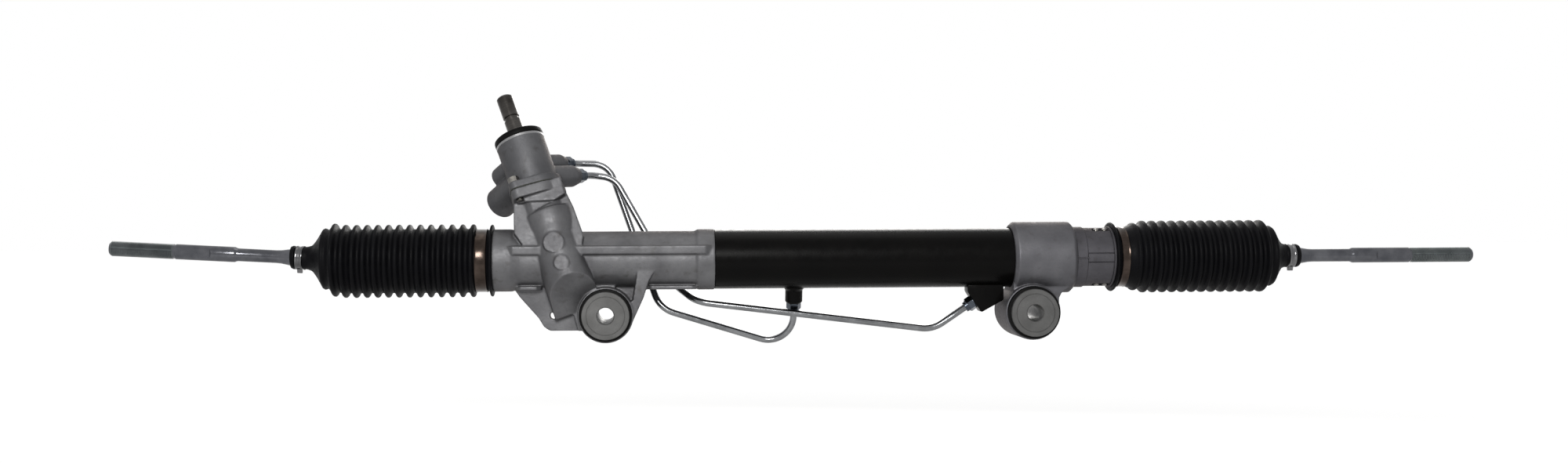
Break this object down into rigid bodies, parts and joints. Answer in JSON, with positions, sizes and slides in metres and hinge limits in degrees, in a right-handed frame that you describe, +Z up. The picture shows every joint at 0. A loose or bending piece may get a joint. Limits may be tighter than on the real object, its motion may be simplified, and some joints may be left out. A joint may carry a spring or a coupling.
{
  "type": "steering rack",
  "caption": "Power-assisted rack-and-pinion steering gear: a splined input shaft turns a pinion that slides the rack in its cylinder, moving tie rods on bellows-covered ball joints.",
  "frame": {"origin": "centre of the pinion-side mounting bush's bore, midway between its end plates", "axes": "+X along the rack towards the cylinder end, +Y from the front of the rack to its back along the mounting bolts, +Z up towards the input shaft"},
  "size_m": [1.2208, 0.1049, 0.2273],
  "materials": {
    "cast_aluminium": "sand cast, matt",
    "valve_casting": "sand cast, matt",
    "black_tube": "satin black paint",
    "bellows_rubber": "matt, moulded",
    "bush_rubber": "matt",
    "seal_rubber": "matt",
    "bush_steel": "turned, phosphated",
    "band_steel": "bright rolled strip",
    "rod_steel": "turned, light zinc",
    "ground_steel": "ground",
    "dark_steel": "oiled dark steel",
    "zinc_tube": "bright zinc",
    "zinc_fasteners": "blue passivated zinc",
    "machined_aluminium": "turned",
    "bronze": "sintered bronze",
    "plastic": "moulded",
    "gasket_paper": "fibre sheet"
  },
  "bodies": {
    "housing": {"gear_housing": "cast_aluminium", "cylinder_bracket": "cast_aluminium", "end_housing": "cast_aluminium", "valve_housing": "valve_casting", "cylinder_tube": "black_tube", "bellows_pinion_side": "bellows_rubber", "bellows_cylinder_side": "bellows_rubber", "bush_rubber_pinion_side": "bush_rubber", "bush_rubber_cylinder_side": "bush_rubber", "input_shaft_seal": "seal_rubber", "pinion_seal": "seal_rubber", "cylinder_inner_seal": "seal_rubber", "cylinder_outer_seal": "seal_rubber", "end_housing_o_ring": "seal_rubber", "dust_cover": "seal_rubber", "bush_sleeve_pinion_side": "bush_steel", "bush_sleeve_cylinder_side": "bush_steel", "bellows_band_pinion_side": "band_steel", "bellows_band_cylinder_side": "band_steel", "input_shaft_bearing": "ground_steel", "pinion_lower_bearing": "ground_steel", "pinion_upper_bearing": "ground_steel", "seal_retaining_ring": "dark_steel", "pinion_bearing_retainer": "dark_steel", "rack_guide_spring": "dark_steel", "end_lock_ring": "dark_steel", "transfer_tube_near_port": "zinc_tube", "transfer_tube_far_port": "zinc_tube", "valve_port_nuts": "zinc_fasteners", "cylinder_port_nuts": "zinc_fasteners", "valve_housing_bolts": "zinc_fasteners", "rack_guide_lock_nut": "zinc_fasteners", "rack_guide": "machined_aluminium", "rack_guide_cap": "machined_aluminium", "rack_bushing": "bronze", "cylinder_inner_bush": "bronze", "rack_guide_liner": "plastic", "valve_housing_gasket": "gasket_paper"},
    "rack": {"rack_bar": "ground_steel", "piston": "machined_aluminium", "piston_ring": "plastic", "piston_circlips": "dark_steel", "ball_socket_pinion_side": "rod_steel", "ball_socket_cylinder_side": "rod_steel", "claw_washer_pinion_side": "dark_steel", "claw_washer_cylinder_side": "dark_steel"},
    "pinion": {"pinion": "ground_steel", "valve_sleeve": "ground_steel", "valve_sleeve_rings": "plastic", "torsion_bar": "ground_steel", "torsion_bar_lower_pin": "ground_steel"},
    "input_shaft": {"input_shaft": "dark_steel", "torsion_bar_upper_pin": "ground_steel"},
    "ball_seat_pinion_side": {"ball_seat_pinion_side": "plastic"},
    "tie_rod_pinion_side": {"tie_rod_pinion_side": "rod_steel", "bellows_clip_pinion_side": "band_steel"},
    "ball_seat_cylinder_side": {"ball_seat_cylinder_side": "plastic"},
    "tie_rod_cylinder_side": {"tie_rod_cylinder_side": "rod_steel", "bellows_clip_cylinder_side": "band_steel"}
  },
  "joints": [
    {"name": "rack_slide", "type": "slide", "parent": "housing", "child": "rack", "axis": [1, 0, 0], "range_m": [-0.065, 0.071], "deforming": ["bellows_pinion_side", "bellows_cylinder_side"]},
    {"name": "pinion_spin", "type": "hinge", "parent": "housing", "child": "pinion", "pos_m": [-0.0405, -0.01447, 0.05327], "axis": [-0.3256, 0.3234, 0.8885], "range_deg": [-582, 533]},
    {"name": "valve_twist", "type": "hinge", "parent": "pinion", "child": "input_shaft", "pos_m": [-0.0405, -0.01447, 0.05327], "axis": [-0.3256, 0.3234, 0.8885], "range_deg": [-4, 4], "stiffness_Nm_per_rad": 100},
    {"name": "rod_pinion_side_up_down", "type": "hinge", "parent": "rack", "child": "ball_seat_pinion_side", "pos_m": [-0.2065, 0, 0.048], "axis": [0, 1, 0], "range_deg": [-21.2, 14.8], "deforming": ["bellows_pinion_side"]},
    {"name": "rod_pinion_side_fore_aft", "type": "hinge", "parent": "ball_seat_pinion_side", "child": "tie_rod_pinion_side", "pos_m": [-0.2065, 0, 0.048], "axis": [0.0558, 0, 0.9984], "range_deg": [-10, 10], "deforming": ["bellows_pinion_side"]},
    {"name": "rod_cylinder_side_up_down", "type": "hinge", "parent": "rack", "child": "ball_seat_cylinder_side", "pos_m": [0.5534, 0, 0.048], "axis": [0, 1, 0], "range_deg": [-18, 18], "deforming": ["bellows_cylinder_side"]},
    {"name": "rod_cylinder_side_fore_aft", "type": "hinge", "parent": "ball_seat_cylinder_side", "child": "tie_rod_cylinder_side", "pos_m": [0.5534, 0, 0.048], "axis": [0, 0, 1], "range_deg": [-10, 10], "deforming": ["bellows_cylinder_side"]}
  ],
  "couplings": [
    {"joint": "pinion_spin", "follows": "rack_slide", "rad_per_m": -142.86}
  ]
}
